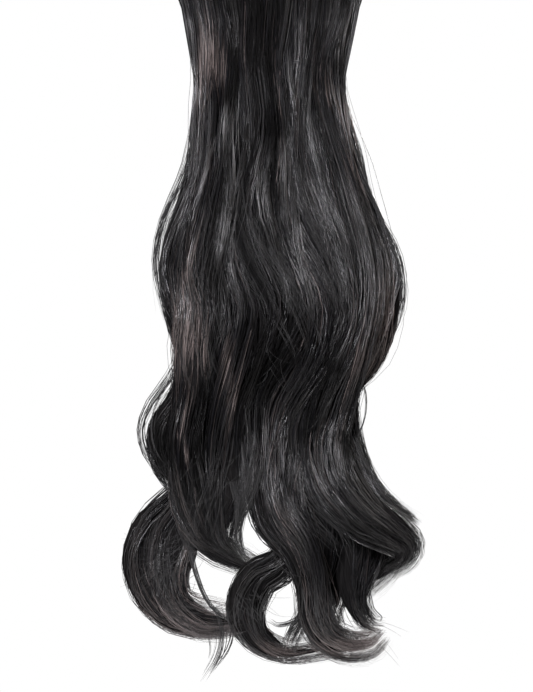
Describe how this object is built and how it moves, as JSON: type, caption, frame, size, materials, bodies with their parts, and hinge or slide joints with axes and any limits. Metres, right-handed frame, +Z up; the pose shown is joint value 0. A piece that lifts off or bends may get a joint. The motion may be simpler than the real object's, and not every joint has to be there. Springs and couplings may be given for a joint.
{
  "type": "clip-in hair extension",
  "caption": "Long wavy dark false hair in layered locks that curl at the ends, sewn to a narrow cloth band with snap combs behind it that grip the wearer's own hair.",
  "frame": {"origin": "middle of the middle snap comb, on the face that lies on the head", "axes": "+Z up along the hanging hair, -Y towards the side that shows, +X to the right as seen from the front"},
  "size_m": [0.2206, 0.0783, 0.5443],
  "materials": {
    "hair": "smooth fibre with a soft sheen",
    "band": "woven tape",
    "thread": "sewing thread",
    "comb": "baked satin enamel"
  },
  "bodies": {
    "root": {"weft_band": "band", "comb_left": "comb", "comb_middle": "comb", "comb_right": "comb", "lock_front_left": "hair", "lock_front_mid_left": "hair", "lock_front_mid_right": "hair", "lock_front_right": "hair", "lock_left_edge": "hair", "lock_mid_left": "hair", "lock_middle": "hair", "lock_mid_right": "hair", "lock_right_edge": "hair", "lock_back_left": "hair", "lock_back_mid_left": "hair", "lock_back_mid_right": "hair", "lock_back_right": "hair"}
  },
  "joints": []
}
